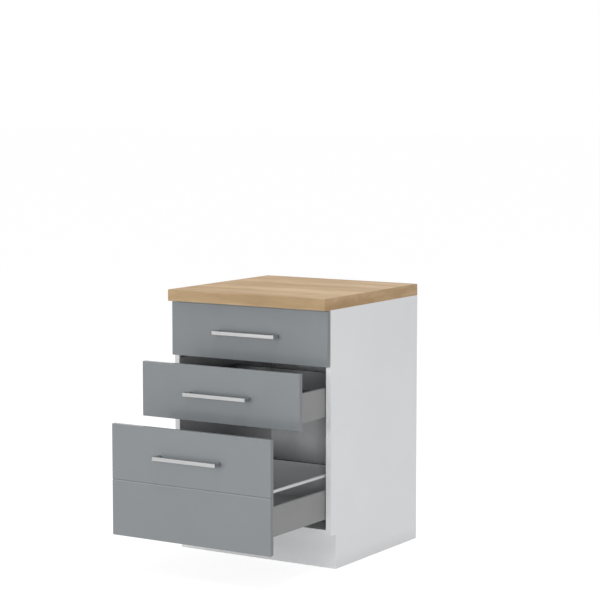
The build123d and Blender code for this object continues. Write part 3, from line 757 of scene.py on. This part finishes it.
def carcass_screws():
    """The runners' screws in the side panels, the worktop's screws and the cams' faces."""
    wall = low_high("side_panel_right")[0][0]
    runners = [low_high(f"runner_{k}_cabinet_right")[0] for k in DRAWERS]
    places = [(wall - formed_sheet, low[1] + y, low[2] + runner_screws_above) for low in runners
              for y in runner_screws_behind]
    screw_set("runner_screw_set", "carcass", ["runner_screws"],
              [(places, INWARD, runner_screw_length, broad_screw)])

    front_low, front_high = low_high("top_rail_front")
    back_low, back_high = low_high("top_rail_back")
    through_rail = [(rail_screw_beside, (front_low[1] + front_high[1]) / 2, front_low[2])]
    through_angle = [(angle_screws_beside, back_low[1] - angle_screws_from_corner,
                      back_high[2] - formed_sheet)]
    into_rail = [(angle_screws_beside, back_low[1] - formed_sheet,
                  back_high[2] - angle_screws_from_corner)]
    screw_set("worktop_screw_set", "carcass", ["worktop_screws"],
              [(through_rail, DOWN, rail_screw_length, broad_screw),
               (through_angle, DOWN, angle_screw_lengths["up"], broad_screw),
               (into_rail, FORWARD, angle_screw_lengths["back"], broad_screw)])

    floor = low_high("bottom_panel")[0][2]
    x = wall - cam_reach
    below = [(x, y, floor) for y in cam_places] + [(x, front_low[1] + rail_cam_reach, front_low[2])]
    upright = [(x, back_low[1], back_high[2] - rail_cam_reach)]
    screw_set("cam_faces", "carcass", [],
              [(below, DOWN, cam_depth, cam_face), (upright, FORWARD, cam_depth, cam_face)],
              "zinc")


def drawer_screws(k):
    """One drawer's screws: up through the seats, out of the front brackets, into the back,
    and for the bottom drawer the ones inside the rails' sockets."""
    low, high = low_high(f"drawer_{k}_side_right")
    back = low_high(f"drawer_{k}_back")[0]
    seat = [(low[0] + seat_flange / 2, low[1] + y, low[2] + seat_screws_above)
            for y in seat_screws_behind]
    middle = high[0] - side_width / 2
    bracket = [(middle + bracket_screws_outward, low[1] + formed_sheet, low[2] + z)
               for z in bracket_screws_above]
    corner = [(high[0] - side_width - corner_screws_inward, back[1] - formed_sheet, low[2] + z)
              for z in corner_screws_above]
    rows = [(seat, DOWN, board_screw_length, wood_screw),
            (bracket, BACKWARD, board_screw_length, slim_screw),
            (corner, FORWARD, board_screw_length, wood_screw)]
    if k == max(DRAWERS):
        socket = [(middle, low[1] + socket_screw_behind, low[2] + socket_screw_above)]
        low_head = {**slim_screw, "height": socket_screw_height}
        rows.append((socket, BACKWARD, board_screw_length, low_head))
    screw_set(f"drawer_{k}_screw_set", f"drawer_{k}", [f"drawer_{k}_screws"], rows)

    low, high = low_high(f"drawer_{k}_handle")
    inner_face = low_high(f"drawer_{k}_front")[1][1]
    through_front = [(high[0] - bar_section / 2, inner_face, (low[2] + high[2]) / 2)]
    screw_set(f"handle_screw_set_{k}", f"drawer_{k}", [f"drawer_{k}_handle_screws"],
              [(through_front, BACKWARD, handle_screw_length, broad_screw)])


dress_built_nodes()
worktop()
fronts_and_bars()
for drawer in DRAWERS:
    for hand in HANDS:
        steel_side(drawer, hand)
    back_shadow_edging(drawer)
    drawer_screws(drawer)
gallery_rails()
edge_bands()
carcass_screws()


# ---------------------------------------------------------------- studio
floor_reach = 60.0
floor_lines = 9
floor_glow = 0.87             # how bright the camera sees the floor in full shadow
floor_shade = 0.24            # grey that the lamps raise to white outside the shadow
world_strength = 0.52         # the light from all round; the camera sees strength 1
lit_middle = (0, 0, 0.45)     # where the lamps look
lamps = {                     # azimuth and elevation in degrees, distance and size in m, watts
    "left_softbox": (-85, 22, 4.5, 2.2, 30.0),
    "front_softbox": (-16, 8, 5.5, 0.8, 44.0),
    "high_softbox": (-6, 18, 5.5, 0.8, 22.0),
    "right_softbox": (35, 4, 5.5, 0.8, 57.0),
    "top_softbox": (30, 68, 5.0, 1.5, 46.0),
    "rear_softbox": (190, 35, 5.5, 2.4, 70.0),
}
focal_length, sensor_width = 121.413, 36.0        # both in mm
camera_place = (3.54905, -5.65677, 1.51718)
view_azimuth, view_elevation = 31.945, 5.917      # degrees right of the front and above level


def studio_floor():
    """A wide pale floor. The camera sees it as white less part of the object's shadow."""
    side = np.linspace(-floor_reach, floor_reach, floor_lines)
    x, y = np.meshgrid(side, side)
    points = np.stack([x, y, np.zeros_like(x)], -1).reshape(-1, 3)
    corner = np.arange(floor_lines - 1)
    start = (floor_lines * corner[:, None] + corner[None, :]).reshape(-1, 1)
    quads = start + np.array([[0, 1, floor_lines + 1, floor_lines]])
    mesh = bpy.data.meshes.new("studio_floor")
    mesh.from_pydata(points.tolist(), [], quads.tolist())
    floor = bpy.data.objects.new("studio_floor", mesh)
    bpy.context.scene.collection.objects.link(floor)
    f = Finish("pale_floor", base_color=paint(226, 226, 226), roughness=0.9)
    rays = f.node("ShaderNodeLightPath").outputs
    seen = f.math("MAXIMUM", rays["Is Camera Ray"], rays["Is Glossy Ray"])
    seen = f.math("MAXIMUM", seen, rays["Is Transmission Ray"])
    glow = f.node("ShaderNodeEmission", {"Color": (1, 1, 1, 1), "Strength": floor_glow})
    shade = f.node("ShaderNodeBsdfDiffuse", {"Color": (floor_shade, floor_shade, floor_shade, 1)})
    both = f.node("ShaderNodeAddShader", {0: glow.outputs[0], 1: shade.outputs[0]})
    pick = f.node("ShaderNodeMixShader", {0: seen, 1: f.shader.outputs[0], 2: both.outputs[0]})
    output = next(n for n in f.tree.nodes if n.type == "OUTPUT_MATERIAL")
    f.feed(output.inputs["Surface"], pick.outputs[0])
    mesh.materials.append(f.material)


def studio_world():
    """Even soft light from all round, seen as plain white."""
    world = bpy.data.worlds.new("studio_world")
    world.use_nodes = True
    tree = world.node_tree
    tree.nodes.clear()
    rays = tree.nodes.new("ShaderNodeLightPath").outputs
    seen = None
    for name in ("Is Camera Ray", "Is Glossy Ray", "Is Transmission Ray"):
        if seen is None:
            seen = rays[name]
            continue
        larger = tree.nodes.new("ShaderNodeMath")
        larger.operation = "MAXIMUM"
        tree.links.new(seen, larger.inputs[0])
        tree.links.new(rays[name], larger.inputs[1])
        seen = larger.outputs[0]
    strength = tree.nodes.new("ShaderNodeMapRange")
    strength.inputs["To Min"].default_value = world_strength
    strength.inputs["To Max"].default_value = 1.0
    tree.links.new(seen, strength.inputs["Value"])
    background = tree.nodes.new("ShaderNodeBackground")
    background.inputs["Color"].default_value = (1, 1, 1, 1)
    tree.links.new(strength.outputs[0], background.inputs["Strength"])
    output = tree.nodes.new("ShaderNodeOutputWorld")
    tree.links.new(background.outputs[0], output.inputs["Surface"])
    bpy.context.scene.world = world


def softbox(name, azimuth, elevation, distance, size, power):
    """A square lamp that looks at the cabinet's middle, from an azimuth right of its front."""
    azimuth, elevation = np.radians((azimuth, elevation))
    middle = np.array(lit_middle)
    place = middle + distance * np.array([np.sin(azimuth) * np.cos(elevation),
                                          -np.cos(azimuth) * np.cos(elevation),
                                          np.sin(elevation)])
    lamp = bpy.data.lights.new(name, "AREA")
    lamp.shape = "SQUARE"
    lamp.size = size
    lamp.energy = power
    lamp.use_shadow = True
    made = bpy.data.objects.new(name, lamp)
    made.location = place
    made.rotation_mode = "QUATERNION"
    made.rotation_quaternion = Vector(middle - place).to_track_quat("-Z", "Y")
    bpy.context.scene.collection.objects.link(made)


def camera():
    """The view of the picture: from the front right, just above the worktop, with a long lens."""
    lens = bpy.data.cameras.new("camera")
    lens.sensor_width = sensor_width
    lens.lens = focal_length
    lens.clip_end = 200.0
    made = bpy.data.objects.new("camera", lens)
    azimuth, elevation = np.radians((view_azimuth, view_elevation))
    look = Vector((-np.sin(azimuth) * np.cos(elevation), np.cos(azimuth) * np.cos(elevation),
                   -np.sin(elevation)))
    made.location = camera_place
    made.rotation_mode = "QUATERNION"
    made.rotation_quaternion = look.to_track_quat("-Z", "Y")
    bpy.context.scene.collection.objects.link(made)
    bpy.context.scene.camera = made


studio_floor()
studio_world()
for lamp_name, setting in lamps.items():
    softbox(lamp_name, *setting)
camera()
bpy.context.scene.view_settings.view_transform = "Standard"
